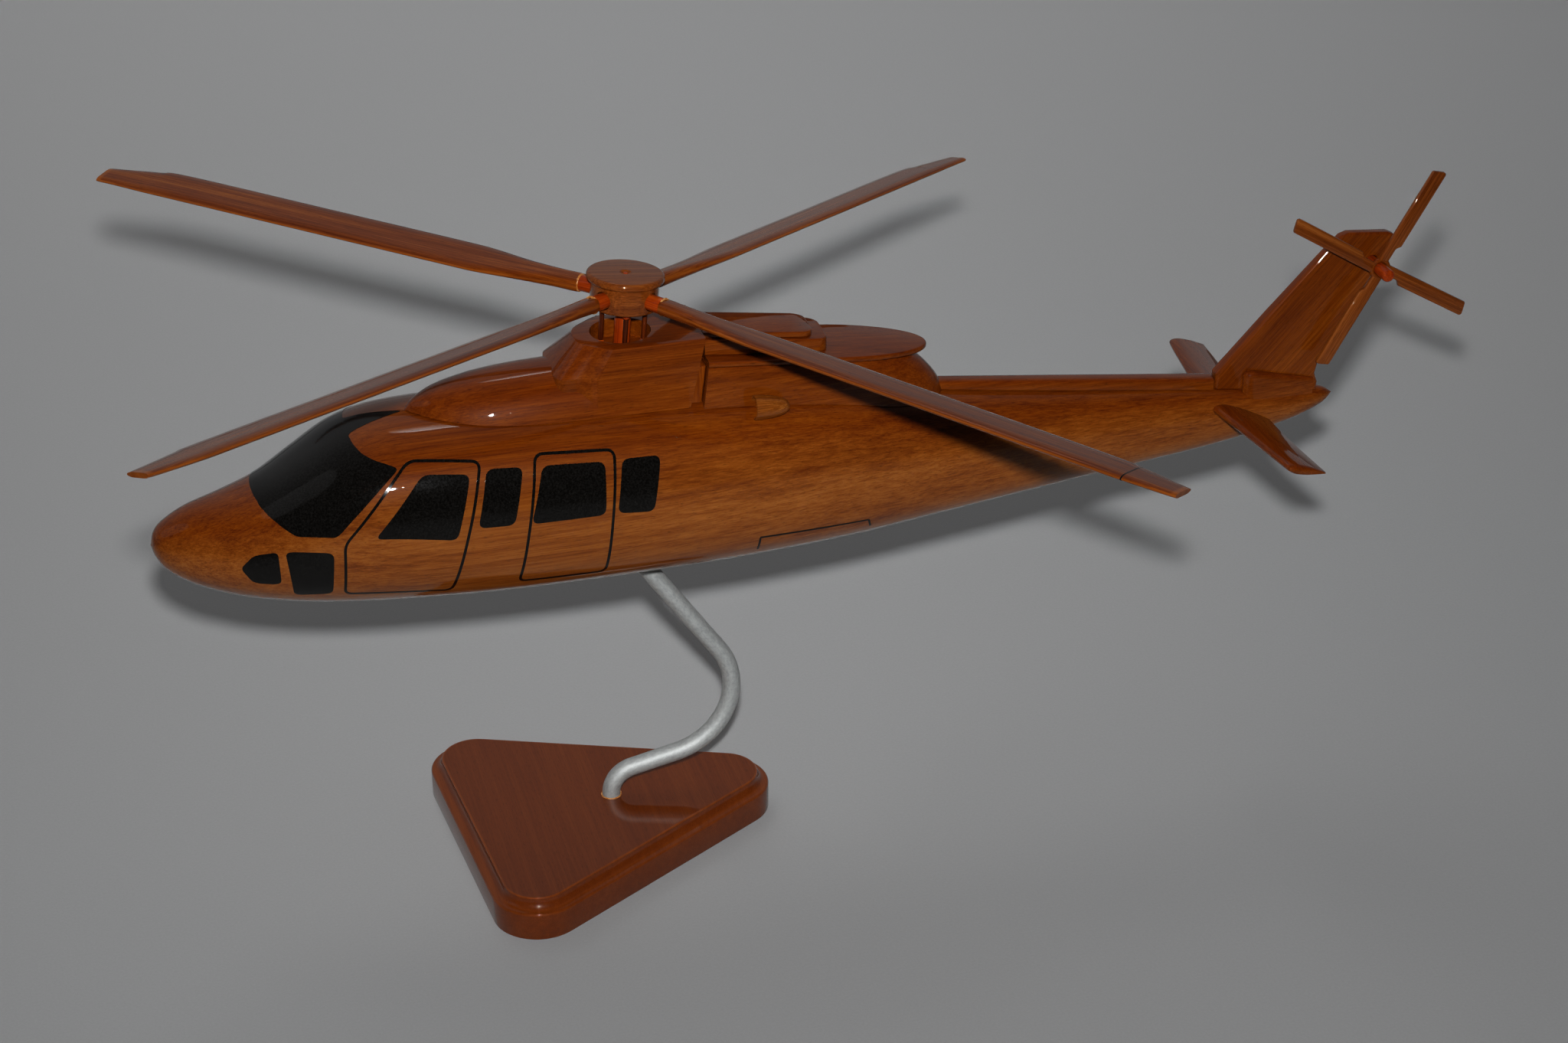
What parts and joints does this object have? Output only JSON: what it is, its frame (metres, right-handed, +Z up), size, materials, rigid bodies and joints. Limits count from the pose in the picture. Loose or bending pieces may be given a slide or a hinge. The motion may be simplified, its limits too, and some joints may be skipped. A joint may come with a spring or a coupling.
{
  "type": "helicopter scale model on a desk stand",
  "caption": "Carved hardwood helicopter desk model with glued-on rotors, cowling, fin and stabilisers, on a bent metal rod and a three-cornered wooden base.",
  "frame": {"origin": "on the base plate's flat underside, straight below the place where the rod enters the base", "axes": "+Z up; the nose points to -X and the tail to +X; port is -Y and starboard is +Y"},
  "size_m": [0.5826, 0.3861, 0.2843],
  "materials": {
    "body_wood": "gloss lacquer",
    "base_wood": "gloss lacquer",
    "blade_wood": "gloss lacquer",
    "red_dowel": "gloss lacquer",
    "dark_rod": "gloss lacquer",
    "black_paint": "gloss paint",
    "aluminium": "satin"
  },
  "bodies": {
    "base": {"base_plate": "base_wood"},
    "rod": {"support_rod": "aluminium"},
    "airframe": {"fuselage": "body_wood", "rotor_tower": "body_wood", "intake_wall": "body_wood", "engine_cowling": "body_wood", "deck_plate": "body_wood", "cowling_step": "body_wood", "cowling_top_plate": "body_wood", "spine_strip": "body_wood", "tail_fin": "body_wood", "scoop_left": "body_wood", "scoop_right": "body_wood", "fin_block_left": "body_wood", "fin_block_right": "body_wood", "stabiliser_left": "body_wood", "stabiliser_right": "body_wood"},
    "main_rotor": {"mast": "red_dowel", "hub_drum": "blade_wood", "hub_cap": "blade_wood", "cap_pin": "red_dowel", "blade_sleeve_front_left": "red_dowel", "blade_sleeve_rear_left": "red_dowel", "blade_sleeve_rear_right": "red_dowel", "blade_sleeve_front_right": "red_dowel", "main_blade_front_left": "blade_wood", "main_blade_rear_left": "blade_wood", "main_blade_rear_right": "blade_wood", "main_blade_front_right": "blade_wood", "pitch_rod_front_left": "dark_rod", "pitch_rod_rear_left": "dark_rod", "pitch_rod_rear_right": "dark_rod", "pitch_rod_front_right": "dark_rod"},
    "tail_rotor": {"tail_rotor_pin": "red_dowel", "tail_blade_1": "blade_wood", "tail_blade_2": "blade_wood", "tail_blade_3": "blade_wood", "tail_blade_4": "blade_wood"}
  },
  "joints": [
    {"name": "rod_lift", "type": "slide", "parent": "base", "child": "rod", "axis": [0, 0, 1], "range_m": [0, 0.02]},
    {"name": "airframe_lift", "type": "slide", "parent": "rod", "child": "airframe", "axis": [-0.5664, 0, 0.8241], "range_m": [0, 0.035]},
    {"name": "main_rotor_spin", "type": "hinge", "parent": "airframe", "child": "main_rotor", "pos_m": [0.0125, -0.0008, 0.2579], "axis": [0.0958, 0.0382, 0.9947], "continuous": true},
    {"name": "tail_rotor_spin", "type": "hinge", "parent": "airframe", "child": "tail_rotor", "pos_m": [0.3438, -0.0106, 0.2332], "axis": [0, 1, 0], "continuous": true}
  ]
}
